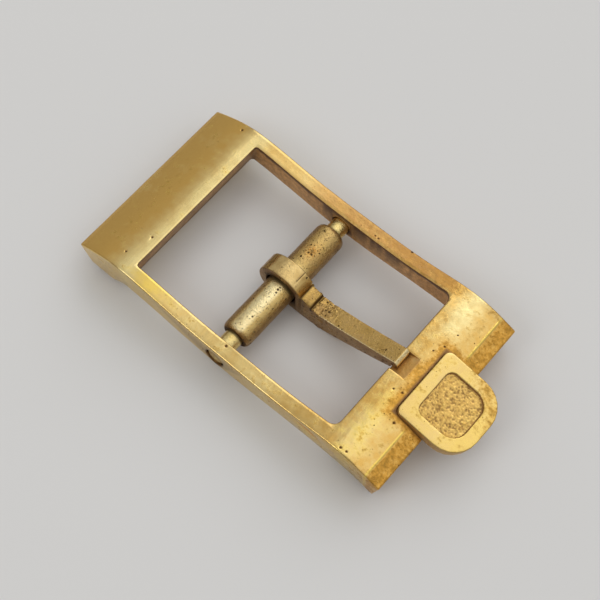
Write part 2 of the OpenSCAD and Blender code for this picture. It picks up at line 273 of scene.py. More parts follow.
def coordinates(tree, turn=(0, 0, 0), stretch=(1, 1, 1)):
    """Object coordinates in millimetres, turned and stretched for a pattern."""
    source = add_node(tree, "ShaderNodeTexCoord")
    mapping = add_node(tree, "ShaderNodeMapping")
    mapping.inputs["Rotation"].default_value = turn
    mapping.inputs["Scale"].default_value = [1 / MM * s for s in stretch]
    tree.links.new(source.outputs["Object"], mapping.inputs["Vector"])
    return mapping.outputs["Vector"]


def painted(tree, name):
    """The weight that paint() stored under a name, or 0 on a piece without it."""
    return add_node(tree, "ShaderNodeAttribute", attribute_name=name).outputs["Fac"]


def cloud(tree, vector, scale, detail=3, roughness=0.55):
    """Soft noise of so many features a millimetre."""
    made = add_node(tree, "ShaderNodeTexNoise", Scale=scale, Detail=detail, Roughness=roughness)
    tree.links.new(vector, made.inputs["Vector"])
    return made.outputs["Fac"]


def remap(tree, value, low, high, to_low=0.0, to_high=1.0):
    """Carries a range of values to another, and holds them inside it."""
    made = add_node(tree, "ShaderNodeMapRange")
    made.inputs["From Min"].default_value = low
    made.inputs["From Max"].default_value = high
    made.inputs["To Min"].default_value = to_low
    made.inputs["To Max"].default_value = to_high
    tree.links.new(value, made.inputs["Value"])
    return made.outputs["Result"]


def combine(tree, operation, a, b):
    """Math on two values, each a socket or a number."""
    made = add_node(tree, "ShaderNodeMath", operation=operation)
    for socket, value in zip(made.inputs, (a, b)):
        if isinstance(value, (int, float)):
            socket.default_value = value
        else:
            tree.links.new(value, socket)
    return made.outputs[0]


def add(tree, *values):
    total = values[0]
    for value in values[1:]:
        total = combine(tree, "ADD", total, value)
    return total


def times(tree, a, b):
    return combine(tree, "MULTIPLY", a, b)


def blend_colour(tree, factor, a, b):
    """From a to b, each a colour or a socket."""
    made = add_node(tree, "ShaderNodeMix", data_type="RGBA")
    tree.links.new(factor, made.inputs["Factor"])

    # The node's sockets for numbers and vectors come before those for colours
    for socket, value in ((made.inputs[6], a), (made.inputs[7], b)):
        if isinstance(value, (tuple, list)):
            socket.default_value = (*value, 1)
        else:
            tree.links.new(value, socket)
    return made.outputs[2]


def pits(tree, vector, scale, share, radius):
    """A mask of small round pits: cells of a Voronoi pattern, few of which are used."""
    cells = add_node(tree, "ShaderNodeTexVoronoi", Scale=scale, Randomness=1.0)
    tree.links.new(vector, cells.inputs["Vector"])
    pick = add_node(tree, "ShaderNodeSeparateColor")
    tree.links.new(cells.outputs["Color"], pick.inputs["Color"])
    used = combine(tree, "LESS_THAN", pick.outputs[0], share)
    size = add(tree, times(tree, pick.outputs[1], radius), radius * 0.4)
    dot = remap(tree, combine(tree, "SUBTRACT", cells.outputs["Distance"], size), -0.06, 0.06, 1.0, 0.0)
    return times(tree, used, dot)


def add_relief(tree, shader, height):
    """Bump from a height in millimetres."""
    bump = add_node(tree, "ShaderNodeBump", Strength=1.0, Distance=1 * MM)
    tree.links.new(height, bump.inputs["Height"])
    tree.links.new(bump.outputs["Normal"], shader.inputs["Normal"])


speck_brown = (0.13, 0.05, 0.012)
# The line colour and the two soil colours below also paint shade
line_and_shade_brown = (0.12, 0.052, 0.016)
dirt_and_shade_dark = (0.40, 0.185, 0.055)
dirt_and_shade_light = (0.80, 0.45, 0.165)


def gold_plating(name, deep, pale, rich, tarnish, rough):
    """Gold plate: clouded, paler on wear and under painted highlights, orange where stained, browner with
    soiling and painted shade, and dark along lines that are partly painted shade.
    """
    material, tree, shader = new_material(name)
    vector = coordinates(tree)
    broad = cloud(tree, vector, 0.45, 2)
    mottle = cloud(tree, vector, 1.7, 4, 0.62)
    blotch = cloud(tree, coordinates(tree, turn=(0.4, 0.2, 1.1), stretch=(1, 1.3, 1)), 3.4, 4, 0.7)
    grain = cloud(tree, vector, 9.0, 3)
    patchy = remap(tree, painted(tree, "uneven"), 0.0, 1.0, 0.4, 1.6)
    patches = times(tree, add(tree, mottle, -0.5), patchy)
    # Pale for wear, and a painted highlight where the weight is set on the crests
    worn_and_lit = add(tree, painted(tree, "pale"), times(tree, broad, 0.7), patches, -0.40)
    colour = blend_colour(tree, remap(tree, worn_and_lit, 0.0, 1.0), deep, pale)
    # Deep yellow, and a painted glint where the weight is set along the crease
    thick = add(tree, painted(tree, "rich"), times(tree, mottle, 1.2), times(tree, blotch, 0.6), -1.1)
    colour = blend_colour(tree, remap(tree, thick, 0.0, 0.5), colour, rich)
    stained = add(tree, painted(tree, "stain_and_shade"), times(tree, mottle, 1.3), times(tree, blotch, 1.5), -1.85)
    stain_and_shade = remap(tree, stained, 0.0, 0.5, 0.0, 0.9)
    brown = blend_colour(tree, remap(tree, blotch, 0.42, 0.66), tarnish, [c * 0.5 for c in tarnish])
    colour = blend_colour(tree, stain_and_shade, colour, brown)
    share = remap(tree, painted(tree, "stain_and_shade"), 0.15, 1.0, 0.008, 0.24)
    specks = pits(tree, vector, 4.5, share, 0.10)
    fine = pits(tree, coordinates(tree, turn=(0.3, 0, 0.7)), 11.0, times(tree, share, 0.8), 0.16)
    specks = combine(tree, "MAXIMUM", specks, times(tree, fine, 0.8))
    colour = blend_colour(tree, times(tree, specks, 0.85), colour, speck_brown)
    # Soiling and painted shade: browner, duller and less metallic
    dirt_and_shade = add(tree, painted(tree, "grime_and_shade"), times(tree, mottle, 0.4), times(tree, blotch, 0.5), -0.45)
    dirt_and_shade = remap(tree, times(tree, dirt_and_shade, painted(tree, "grime_and_shade")), 0.0, 0.75)
    dirt_and_shade_colour = blend_colour(tree, remap(tree, blotch, 0.32, 0.68), dirt_and_shade_dark, dirt_and_shade_light)
    colour = blend_colour(tree, times(tree, dirt_and_shade, 0.92), colour, dirt_and_shade_colour)
    # Dark lines, partly painted shade
    colour = blend_colour(tree, painted(tree, "line"), colour, line_and_shade_brown)
    tree.links.new(colour, shader.inputs["Base Color"])
    tree.links.new(remap(tree, dirt_and_shade, 0.0, 1.0, 1.0, 0.5), shader.inputs["Metallic"])
    roughness = add(
        tree, remap(tree, mottle, 0.3, 0.7, rough - 0.05, rough + 0.05),
        times(tree, stain_and_shade, 0.10), times(tree, dirt_and_shade, 0.25), times(tree, specks, 0.2))
    tree.links.new(roughness, shader.inputs["Roughness"])
    hairlines = cloud(tree, coordinates(tree, stretch=(9, 0.35, 2)), 1.0, 2)
    drawn_out = coordinates(tree, stretch=(1.5, 0.7, 1))
    peel = add(tree, cloud(tree, drawn_out, 1.5, 2), times(tree, blotch, 0.2))
    peel = times(tree, peel, painted(tree, "uneven"))
    height = add(
        tree, times(tree, hairlines, 0.003), times(tree, grain, 0.003), times(tree, specks, -0.03),
        times(tree, times(tree, dirt_and_shade, grain), 0.03), times(tree, times(tree, stain_and_shade, blotch), 0.006),
        times(tree, peel, 0.030))
    add_relief(tree, shader, height)
    return material


bar_low, bar_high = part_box("bar_tube")
frame_low, frame_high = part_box("frame")
plaque_low, plaque_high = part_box("front_plaque")
bar_axis = (bar_low + bar_high) / 2

# Places on the frame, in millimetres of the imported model
window_rear_x = -8.36
window_front_x = 6.08
window_half = 5.0
rear_crest_x = -8.66
front_crest_x = 6.83
crease_x = 8.90
notch_front_x = 7.13
notch_middle_y = 0.16
notch_half = 0.71
hole_mouth_r = 0.74
underside_z = 1.7
seam_start_x = 7.7
plaque_inner_x = plaque_low.x / MM
plaque_half = plaque_high.y / MM

# Pits and stains in the plate: place along X and Y, radius and depth
top_pits = (
    (-9.76, 5.35, 0.09, 0.06),
    (-9.43, -4.75, 0.08, 0.06),
    (-8.90, -3.18, 0.08, 0.04),
    (-0.22, 5.45, 0.17, 0.02),
    (0.99, 5.49, 0.16, 0.02),
    (0.60, 5.28, 0.07, 0.03),
    (0.36, 5.30, 0.06, 0.03),
    (2.59, 5.86, 0.09, 0.08),
    (-1.54, -5.20, 0.10, 0.03),
    (7.02, -5.70, 0.09, 0.05),
    (7.39, -5.66, 0.08, 0.05),
    (7.55, -1.20, 0.08, 0.05),
    (7.62, 2.35, 0.07, 0.05),
    (7.30, 1.75, 0.06, 0.04),
    (7.05, -1.35, 0.07, 0.04),
    (7.75, 3.35, 0.06, 0.03),
    (8.25, -2.75, 0.09, 0.05))

# The shallow recess in the near side, which follows the wave of the rail
side_recess = Vector((4.85, -5.94, 2.18))
recess_half = (0.95, 0.30)
recess_slope = 0.12


def from_bar(place):
    """How far a place lies from the spring bar's axis."""
    return ((place.x - bar_axis.x / MM) ** 2 + (place.z - bar_axis.z / MM) ** 2) ** 0.5


def in_recess(place, reach):
    along = (place.x - side_recess.x) / recess_half[0]
    up = (place.z - side_recess.z + recess_slope * (place.x - side_recess.x)) / recess_half[1]
    return bell((along * along + up * up) ** 0.5, 0, reach)


def along_crease(place, reach, begin, end):
    """1 on the crease, from a distance beside the plaque outward."""
    return bell(place.x, crease_x, reach) * ramp_up(abs(place.y), plaque_half + begin, plaque_half + end)


def in_window(place):
    """True on the window's walls, and not on the rounded edge above them."""
    rear_x = window_rear_x - (0.6 if place.z < 3.02 else 0.02)
    return rear_x < place.x < window_front_x + 0.02 and abs(place.y) < window_half + 0.02


def beyond_plaque(place):
    """How far a place lies outside the plaque's outline; the underside counts as far off."""
    below = 5 if place.z < underside_z else 0
    return max(abs(place.y) - plaque_half, plaque_inner_x - place.x, 0) + below


def frame_grime_and_shade(place, normal):
    """Painted shade and soiling: darker and browner on the window's walls, a painted shadow in the seam round
    the plaque, browner on the side walls, partly painted shade on the far rail, and browner in the recess and
    the notch.
    """
    # A painted shadow in the seam round the plaque
    seam = 0.85 * bell(beyond_plaque(place), 0, 0.08) * (place.x > seam_start_x)
    wall = 1.0 if in_window(place) and abs(normal.z) < 0.75 else 0.0
    side = 0.25 * ramp_up(-normal.y, 0.5, 0.9) + 0.4 * ramp_up(normal.y, 0.5, 0.9)
    # Partly painted shade: the far rail is darker
    far_rail = 0.62 * ramp_up(place.y, 4.95, 5.2) * ramp_up(place.x, -6.0, -3.5)
    far_rail *= 1 - ramp_up(place.x, 5.0, 7.0)
    recess = 1.2 * in_recess(place, 0.85) if place.y < -5.7 else 0
    in_notch = place.x < notch_front_x and abs(place.y - notch_middle_y) < notch_half + 0.03
    notch = 0.62 if in_notch and place.x > window_front_x - 0.05 else 0
    return max(seam, wall, side, far_rail, recess, notch)


def frame_lines_and_shade(place, normal):
    """Dark lines, partly old polish and partly painted shade: under the window's rim, in its rear far corner
    and on its rear wall, round the pin holes' mouths, along the outer rounded edges and in the seam round the
    plaque.
    """
    uneven = 0.62 + 0.38 * ripple(place * MM, 0.9)
    if in_window(place):
        below_rim = window_rim.find(place * MM)[2] / MM
        reach = 0.11 + 0.13 * ripple(place * MM, 0.35)
        edge = 0.95 * (1 - ramp_up(below_rim, reach, reach + 0.14)) * (1 - ramp_up(normal.z, 0.6, 1.0))
        # Painted shade in the window's rear far corner
        corner = bell(place.x, window_rear_x - 0.3, 0.28) * bell(place.y, window_half, 0.28)
        rear_wall = 0.7 * ramp_up(normal.x, 0.3, 0.7) * ramp_up(window_rear_x + 0.1 - place.x, 0.0, 0.05)
        return max(edge, 0.8 * corner, rear_wall * uneven)
    # Painted shade in the mouths of the pin holes
    if from_bar(place) < hole_mouth_r + 0.06:
        return 0.95 * ramp_up(hole_mouth_r - from_bar(place), 0.0, 0.06)
    # A painted shadow in the seam round the plaque, with old polish in it
    seam = bell(beyond_plaque(place), 0, 0.08) * (0.4 + 0.6 * uneven) if place.x > seam_start_x else 0
    # Painted shade along the rear end's rounded edge
    if place.x < frame_low.x / MM + 0.25:
        return 0.55 * uneven * bell(normal.z, 0.55, 0.25)
    if place.x < rear_crest_x - 1.0 or place.x > frame_high.x / MM - 0.25:
        return seam
    # Painted shade along the outer rounded edges, strongest on the far side
    outer = 0.9 * bell(normal.z, 0.50, 0.38) if place.y > 0 else 0.6 * bell(normal.z, 0.55, 0.25)
    return max(seam, outer * uneven * ramp_up(abs(place.y), 5.4, 5.7))


def frame_tarnish_and_shade(place, normal):
    """Orange tarnish, strongest round the plaque, in the notch, on the facet and the far rail; on the far
    rail it is partly painted shade.
    """
    round_plaque = 1.05 * bell(beyond_plaque(place), 0, 0.65)
    facet = 0.92 * ramp_up(place.x, crease_x + 0.02, crease_x + 0.16)
    notch = 1.05 * bell(place.x, notch_front_x + 0.25, 0.7) * bell(place.y, notch_middle_y, 1.1)
    rear_edge = 0.35 * bell(place.x, frame_low.x / MM, 0.5)
    # Partly painted shade: the far rail darker and browner
    far_rail = (0.70 + 0.25 * ramp_up(place.x, 0.0, 3.0)) * ramp_up(place.x, -5.5, -1.5)
    far_rail *= ramp_up(place.y, 5.0, 5.1) * (1 - 0.6 * ramp_up(place.x, 5.4, 7.0))
    near_rail = 0.36 * ramp_up(-place.y, 5.0, 5.1) * ramp_up(place.x, -7.5, -5.5)
    bar_end = 0.55 * ramp_up(abs(place.y), 4.9, 5.7) * ramp_up(place.x, 6.6, 8.2)
    slope = 0.34 * bell(place.x, -10.6, 1.2)
    crown = 0.38 * ramp_up(place.x, 6.5, 7.4)
    return max(round_plaque, facet, notch, rear_edge, far_rail, near_rail, bar_end, slope, crown, 0.2)


def frame_pale_and_highlight(place, normal):
    """Where the gold is pale: wear with a painted highlight on the two crests, wear on the rails, and paler
    on the near side.
    """
    rear = 0.9 * bell(place.x, rear_crest_x + 0.15, 1.0)
    front = 0.85 * bell(place.x, front_crest_x + 0.45, 0.85) * ramp_up(abs(place.y), 1.9, 3.6)
    rails = 0.5 * ramp_up(abs(place.y), 4.7, 5.0) * ramp_up(place.x, -8.0, -6.5)
    rails *= ramp_up((-2.0 if place.y > 0 else 6.0) - place.x, 0, 4)
    base = 0.22 * ramp_up(place.x, -8.6, -7.5) * ramp_up(crease_x - place.x, 0.0, 0.1)
    near_side = 0.6 * ramp_up(-normal.y, 0.5, 0.9) * ramp_up(-place.y, 5.0, 5.3)
    return max(rear, front, rails, near_side, base)


def frame_rich_and_glint(place, normal):
    """Where the gold is a deep yellow: the near rail's rear end and half the crown; along the crease a
    painted glint.
    """
    corner = 0.8 * bell(place.x, -6.9, 1.5) * bell(place.y, -5.3, 0.7)
    crown = 0.45 * bell(place.x, front_crest_x + 0.5, 1.1) * ramp_up(-place.y, 0.5, 2.0)
    return max(corner, crown, along_crease(place, 0.07, 0.2, 0.5), 0.12)


def frame_uneven(place, normal):
    """How wavy the polish is: most on the front bar, half as much on the rails."""
    front = ramp_up(place.x, 5.6, 6.6)
    rails = 0.5 * ramp_up(abs(place.y), 4.9, 5.2) * ramp_up(place.x, -8.0, -6.5)
    return max(front, rails, 0.2)


gold_plate = gold_plating(
    "gold_plate", deep=(0.70, 0.43, 0.115), pale=(0.88, 0.73, 0.34), rich=(0.84, 0.60, 0.14),
    tarnish=(0.66, 0.33, 0.05), rough=0.21)
mesh, bm = solid_copy("frame", "frame_casting")

# The solid's four outer corners are squared first, so that rounding them is clean
rear_taper = 0.14
corner_reach = 0.16
for end, narrower in ((min, rear_taper), (max, 0.0)):
    end_place = end(bm.verts, key=lambda vert: vert.co.x).co.copy()
    half = frame_high.y - narrower * MM
    for vert in bm.verts:
        if abs(vert.co.x - end_place.x) < corner_reach * MM and abs(vert.co.y) > half - corner_reach * MM:
            vert.co = Vector((end_place.x, half if vert.co.y > 0 else -half, end_place.z))
bmesh.ops.remove_doubles(bm, verts=bm.verts, dist=0.012 * MM)
join_faces(bm)


def fitted(middle):
    """True for the edges of the notch and of the plaque's seat."""
    in_notch = 5.9 < middle.x < notch_front_x + 0.15 and abs(middle.y - notch_middle_y) < notch_half + 0.05
    in_seat = middle.x > plaque_inner_x - 0.1 and abs(middle.y) < plaque_half + 0.06
    return in_seat or (in_notch and middle.z > 2.4)


def at_window(middle):
    """True for the window's own edges, which are sharper than the outer ones."""
    inside = window_rear_x - 0.8 < middle.x < window_front_x + 0.05 and abs(middle.y) < window_half + 0.05
    return inside and not fitted(middle)


def window_wall(face):
    return abs(face.normal.z) < 0.4 and in_window(face.calc_center_median() / MM)


def outer_edge(middle):
    return not fitted(middle) and not at_window(middle)


round_edges(bm, width=0.10, segments=3, least_angle=30, chosen=outer_edge)
round_edges(bm, width=0.06, segments=2, least_angle=30, chosen=at_window)
round_edges(bm, width=0.04, segments=2, least_angle=36, chosen=fitted)

# Large faces are cut fine where they carry small forms or fine paint
crest_start_x = -9.7
crest_zone = [(crest_start_x, -6.5, 2.0), (window_rear_x + 0.1, 6.5, 4.0)]
front_zone = [(window_front_x - 0.2, -6.5, 1.0), (10.0, 6.5, 4.0)]
crease_zone = [(crease_x - 0.12, -6.5, 1.0), (crease_x + 0.12, 6.5, 4.0)]
wall_zone = [(window_rear_x - 0.7, -5.1, 2.25), (window_front_x + 0.1, 5.1, 3.2)]
cut_rows(bm, 1, 0.4)
cut_rows(bm, 0, 0.12, crest_zone)
cut_rows(bm, 0, 0.15, front_zone)
cut_rows(bm, 1, 0.15, front_zone)
cut_rows(bm, 0, 0.024, crease_zone)
for x, y, radius, depth in top_pits:
    reach = Vector((radius, radius, 20)) * 1.6
    middle = Vector((x, y, 2))
    for axis in (0, 1):
        cut_rows(bm, axis, radius * 0.4, [middle - reach, middle + reach])
reach = Vector((recess_half[0], 0.3, recess_half[1])) * 1.4
for axis in (0, 2):
    cut_rows(bm, axis, 0.09, [side_recess - reach, side_recess + reach])
for axis, step in ((0, 0.12), (2, 0.08)):
    cut_rows(bm, axis, step, wall_zone, window_wall)
bm.normal_update()

# The rim's own points, from which frame_lines_and_shade measures how far down the wall a place is
rim = [vert.co.copy() for vert in bm.verts if vert.normal.z > 0.08 and in_window(vert.co / MM)]
window_rim = kdtree.KDTree(len(rim))
for number, place in enumerate(rim):
    window_rim.insert(place, number)
window_rim.balance()
paint(bm, "grime_and_shade", frame_grime_and_shade)
paint(bm, "line", frame_lines_and_shade)
paint(bm, "stain_and_shade", frame_tarnish_and_shade)
paint(bm, "pale", frame_pale_and_highlight)
paint(bm, "rich", frame_rich_and_glint)
paint(bm, "uneven", frame_uneven)
line = bm.verts.layers.float["line"]
stain_and_shade = bm.verts.layers.float["stain_and_shade"]
crest_fall = 0.034
recess_depth = 0.14
dark_pit_depth = 0.02

# Where a second ripple is looked up, so that it isn't in step with the first
elsewhere = Vector((1, 0, 0))


def sway(vert, place):
    """How far a polished face stands proud, along its normal; not where the plaque fits."""
    fine = 0.004 + 0.004 * ramp_up(place.x, 6.4, 7.2)
    height = 0.010 * ripple(vert.co, 2.2) + fine * ripple(vert.co + elsewhere, 0.7)
    return vert.normal * height * (1 - bell(beyond_plaque(place), 0, 0.15))


def crest_drop(place):
    """How far the rear crest falls toward the window."""
    if place.z < 2.9 or not crest_start_x < place.x < window_rear_x + 0.02:
        return 0.0
    toward_window = (place.x - crest_start_x) / (window_rear_x - crest_start_x)
    return crest_fall * toward_window ** 2 * (1 - ramp_up(abs(place.y), 4.2, 5.7))


def crease_rise(place):
    """The crease's fine ridge, higher on the far side, that ends before the corners."""
    height = 0.032 if place.y > 0 else 0.016
    return height * along_crease(place, 0.05, 0.3, 0.8) * ramp_up(5.7 - abs(place.y), 0.0, 0.4)


def pit(vert, place):
    """How deep a place lies in the pits, which also darkens or stains it."""
    total = 0.0
    for x, y, radius, depth in top_pits:
        inside = bell(((place.x - x) ** 2 + (place.y - y) ** 2) ** 0.5, 0, radius * 0.7)
        darkest = 0.97 if depth > dark_pit_depth else 0.1
        vert[line] = max(vert[line], ramp_up(inside, 0.05, 0.4) * darkest)
        vert[stain_and_shade] = max(vert[stain_and_shade], min(1.0, 1.5 * inside))
        total += depth * inside
    return total


shifts = []
for vert in bm.verts:
    place = vert.co / MM
    shift = sway(vert, place)
    shift.z -= crest_drop(place)
    if vert.normal.z > 0.5:
        shift.z += crease_rise(place) - pit(vert, place)
    if vert.normal.y < -0.6:
        shift.y += recess_depth * in_recess(place, 0.8)
    shifts.append(shift * MM)
for vert, shift in zip(bm.verts, shifts):
    vert.co += shift
finish_piece(mesh, bm, "frame_casting", node="frame", body="frame", material=gold_plate)


# The plaque is a stamped plate with a raised rim round a stippled field. It is
# let into the top of the front bar and overhangs the lip.
def plaque_depth(co):
    """How far a point in metres lies under the plaque's top face, in millimetres."""
    return (co - plaque_corner).dot(down) / MM


plaque_gold = gold_plating(
    "plaque_gold", deep=(0.72, 0.445, 0.125), pale=(0.85, 0.69, 0.33), rich=(0.84, 0.60, 0.17),
    tarnish=(0.66, 0.36, 0.07), rough=0.27)
tilt = radians(11)
down = Vector((-sin(tilt), 0, -cos(tilt)))
plaque_corner = Vector((plaque_inner_x * MM, 0, plaque_high.z))
rim_w = 0.78
field_depth = 0.20
field_half = plaque_half - rim_w
stipple_h = 0.036
aside = Vector((3, 0, 0)) * MM
mesh, bm = solid_copy("front_plaque", "plaque_plate")
join_faces(bm)
round_edges(bm, width=0.055, segments=3, least_angle=30)
field_low = (plaque_inner_x + rim_w - 0.15, -field_half - 0.1, 2.0)
field_high = (plaque_high.x / MM - rim_w + 0.15, field_half + 0.1, 4.0)
for axis in (0, 1):
    cut_rows(bm, axis, 0.30)
    cut_rows(bm, axis, 0.045, [field_low, field_high])
bm.normal_update()
sunk = bm.verts.layers.float.new("sunk")
for vert in bm.verts:
    facing_up = vert.normal.dot(-down)
    if facing_up > 0.95 and abs(plaque_depth(vert.co) - field_depth) < 0.03:
        stipple = ripple(vert.co, 0.11) + 0.4 * ripple(vert.co + aside, 0.26)
        vert[sunk] = ramp_up(-stipple, -0.7, 0.6)
        vert.co -= down * stipple_h * stipple * MM
    elif facing_up > 0.9:
        vert.co -= down * 0.006 * ripple(vert.co, 1.1) * MM
bm.normal_update()
# Painted shade on the plaque's sides and a dark line on its rounded edges
paint(bm, "grime_and_shade", lambda place, normal: 0.65 * ramp_up(0.6 - normal.z, 0.0, 0.4))
paint(bm, "line", lambda place, normal: 0.55 * bell(normal.dot(-down), 0.35, 0.35))
paint(bm, "stain_and_shade", lambda place, normal: 0.36 + 0.45 * ramp_up(place.x + place.y, 11.2, 13.0))
paint(bm, "pale", lambda place, normal: 0.55)
paint(bm, "rich", lambda place, normal: 0.48 + 0.30 * ramp_up(place.x, 10.5, 12))
paint(bm, "uneven", lambda place, normal: 0.3)

# The field's hollows are darker and deeper in colour, and its wall is darker still
layers = bm.verts.layers.float
for vert in bm.verts:
    below = plaque_depth(vert.co)
    facing_up = vert.normal.dot(-down)
    if vert[sunk] > 0:
        vert[layers["grime_and_shade"]] = 0.24 + 0.26 * vert[sunk]
        vert[layers["pale"]] = 0.0
        vert[layers["stain_and_shade"]] = 0.62
    elif 0.06 < below < field_depth + 0.08 and facing_up < 0.97 and abs(vert.co.y) < (field_half + 0.1) * MM:
        vert[layers["grime_and_shade"]] = 0.9
    if 0.06 < below < field_depth + 0.06 and abs(vert.co.y) < (field_half + 0.12) * MM:
        vert[layers["line"]] = 0.9 * bell(facing_up, 0.35, 0.35)
    vert[layers["line"]] = max(vert[layers["line"]], 0.6 * ramp_up(vert[sunk], 0.74, 1.0))
finish_piece(
    mesh, bm, "plaque_plate", node="front_plaque", body="frame", material=plaque_gold)


# The tongue is a pale brass strip, curled round the bar and filed to a stout
# blade, with rough and pitted skin left where the loop meets the blade.
polished_and_highlight_brass = (0.92, 0.78, 0.44)
rust_orange = (0.58, 0.27, 0.05)
pit_brown = (0.07, 0.038, 0.014)
groove_and_shade_brown = (0.055, 0.032, 0.014)


def bare_brass(name, dark, light, brown, rough, pit_scale, pit_share, turn_lines=(0.4, 9, 2)):
    """Bare brass: dull, clouded and pitted, browner where it was never polished and where shade is painted,
    brighter where polished and where a highlight is painted.
    """
    material, tree, shader = new_material(name)
    vector = coordinates(tree)
    mottle = cloud(tree, vector, 1.5, 4, 0.6)
    grain = cloud(tree, vector, 8.0, 4, 0.65)
    tone = add(tree, times(tree, mottle, 0.9), times(tree, grain, 0.6), -0.25)
    colour = blend_colour(tree, remap(tree, tone, 0.25, 0.75), dark, light)
    skin = painted(tree, "rough")
    # Browner on rough skin, and as painted shade on the tube's sides
    brown_and_shade_mask = add(tree, skin, times(tree, mottle, 1.1), times(tree, grain, 0.9), -1.3)
    brown_and_shade_mask = remap(tree, brown_and_shade_mask, 0.0, 0.6)
    colour = blend_colour(tree, brown_and_shade_mask, colour, brown)
    # Brighter where polished, and where a highlight is painted
    shine_and_highlight = times(tree, painted(tree, "polished"), remap(tree, mottle, 0.3, 0.6, 0.5, 1.0))
    colour = blend_colour(tree, shine_and_highlight, colour, polished_and_highlight_brass)
    rust = times(tree, painted(tree, "rust"), remap(tree, grain, 0.35, 0.6))
    colour = blend_colour(tree, rust, colour, rust_orange)
    share = remap(tree, skin, 0.0, 1.0, pit_share * 0.35, pit_share * 1.6)
    pitted = times(tree, painted(tree, "pitted"), 0.6)
    share = add(tree, share, times(tree, painted(tree, "rust"), 0.5), pitted)
    holes = pits(tree, vector, pit_scale, share, 0.20)
    fine = pits(tree, coordinates(tree, turn=(0.5, 0.2, 0)), pit_scale * 2.6, share, 0.24)
    holes = combine(tree, "MAXIMUM", holes, times(tree, fine, 0.8))
    colour = blend_colour(tree, times(tree, holes, 0.9), colour, pit_brown)
    # Dark lines, partly painted shade
    colour = blend_colour(tree, painted(tree, "line"), colour, groove_and_shade_brown)
    tree.links.new(colour, shader.inputs["Base Color"])
    tree.links.new(remap(tree, brown_and_shade_mask, 0.0, 1.0, 1.0, 0.75), shader.inputs["Metallic"])
    roughness = add(
        tree, remap(tree, mottle, 0.3, 0.7, rough - 0.05, rough + 0.07), times(tree, holes, 0.2),
        times(tree, brown_and_shade_mask, 0.14), times(tree, painted(tree, "line"), 0.3))
    tree.links.new(roughness, shader.inputs["Roughness"])
    lines = cloud(tree, coordinates(tree, stretch=turn_lines), 1.0, 2)
    height = add(
        tree, times(tree, lines, 0.005), times(tree, times(tree, grain, skin), 0.06),
        times(tree, grain, 0.008), times(tree, holes, -0.04))
    add_relief(tree, shader, height)
    return material


pale_brass = bare_brass(
    "pale_brass", dark=(0.45, 0.27, 0.072), light=(0.71, 0.465, 0.145), brown=(0.32, 0.18, 0.07),
    rough=0.22, pit_scale=3.6, pit_share=0.28)
loop_r = 1.615
bore_mouth_r = 1.22
tongue_y = 0.28
loop_half = 0.6
seam_x = -0.40
groove_x = 0.33

# Scored lines across the loop: angle from the top toward the front, and where along Y they begin
rear_score = -44
front_score = 31
scores = ((rear_score, -0.4), (-50, -0.4), (front_score, 0.15))
mesh, bm = solid_copy("tongue", "tongue_strip", least=0.04)
join_faces(bm)
round_edges(bm, width=0.055, segments=3, least_angle=30)
cut_rows(bm, 0, 0.16)
cut_rows(bm, 1, 0.16)
for axis in (0, 1, 2):
    cut_rows(bm, axis, 0.055, [(groove_x - 0.1, -1, 0), (groove_x + 2.2, 1.5, 3)])


def on_loop(angle):
    """The place along X of a line across the loop's outside."""
    return bar_axis.x / MM + loop_r * sin(radians(angle))


for angle, begin in scores:
    cut_rows(bm, 0, 0.02, [(on_loop(angle) - 0.06, -1, 2.2), (on_loop(angle) + 0.06, 1.5, 3.2)])
bm.normal_update()


def tongue_rough(place, normal):
    """Dull rough skin: on the sides, at the blade's root and behind the scored lines."""
    ahead = place.x - groove_x
    root = 0.5 * ramp_up(ahead, 0.0, 0.2) * ramp_up(1.9 - ahead, 0.0, 1.1)
    sides = 0.8 * ramp_up(abs(normal.y), 0.5, 0.9)
    blade = 0.36 * ramp_up(ahead, 0.2, 0.6)
    loop_back = 0.55 * ramp_up(on_loop(rear_score) - place.x, 0.0, 0.1)
    shoulder = 0.5 * bell(place.x, (seam_x + groove_x) / 2, 0.3)
    return max(root, sides, blade, loop_back, shoulder, 0.10)


def tongue_lines_and_shade(place, normal):
    """Soiling in the seam and the scored lines, painted shade in the groove and round the loop's mouths, and
    dark on the loop's rims.
    """
    on_ring = place.x < seam_x + 0.05
    # Painted shade in the gap round the tube at the loop's mouths
    mouth = 0.95 * ramp_up(bore_mouth_r - from_bar(place), 0.0, 0.12) if place.x < seam_x + 1.2 else 0
    rim = 0.7 * bell(abs(normal.y), 0.62, 0.25) * on_ring
    above = place.z > 1.5
    seam = 0.85 * bell(place.x, seam_x, 0.07) * above
    # Painted shade in the groove
    groove = 0.95 * bell(place.x, groove_x, 0.08) * above
    scored = 0
    if from_bar(place) > loop_r - 0.08 and place.z > 2.2:
        for angle, begin in scores:
            scored = max(scored, 0.85 * bell(place.x, on_loop(angle), 0.022) * (place.y > begin))
    return max(mouth, rim, seam, groove, scored)


def tongue_polished_and_highlight(place, normal):
    """Bright where the strap rubs on the loop's top, and a painted highlight on the nose and along the
    blade's near edge.
    """
    loop = 0.3 * ramp_up(normal.z, 0.55, 0.9) * (on_loop(rear_score) < place.x < seam_x - 0.05)
    nose = ramp_up(normal.x, 0.2, 0.5) * ramp_up(place.x, 5.0, 5.5) * ramp_up(normal.z, 0.1, 0.3)
    edge = bell(normal.y, -0.45, 0.25) * ramp_up(normal.z, 0.3, 0.6) * (place.x > groove_x + 0.6)
    return max(loop, nose, edge)


def tongue_pitted(place, normal):
    """Where the pits lie thick: the blade's root and its near side."""
    ahead = place.x - groove_x
    root = ramp_up(ahead, 0.0, 0.15) * ramp_up(2.3 - ahead, 0.0, 1.6)
    return max(root, 0.85 * ramp_up(-normal.y, 0.6, 0.9) * ramp_up(ahead, 0.2, 1.2))


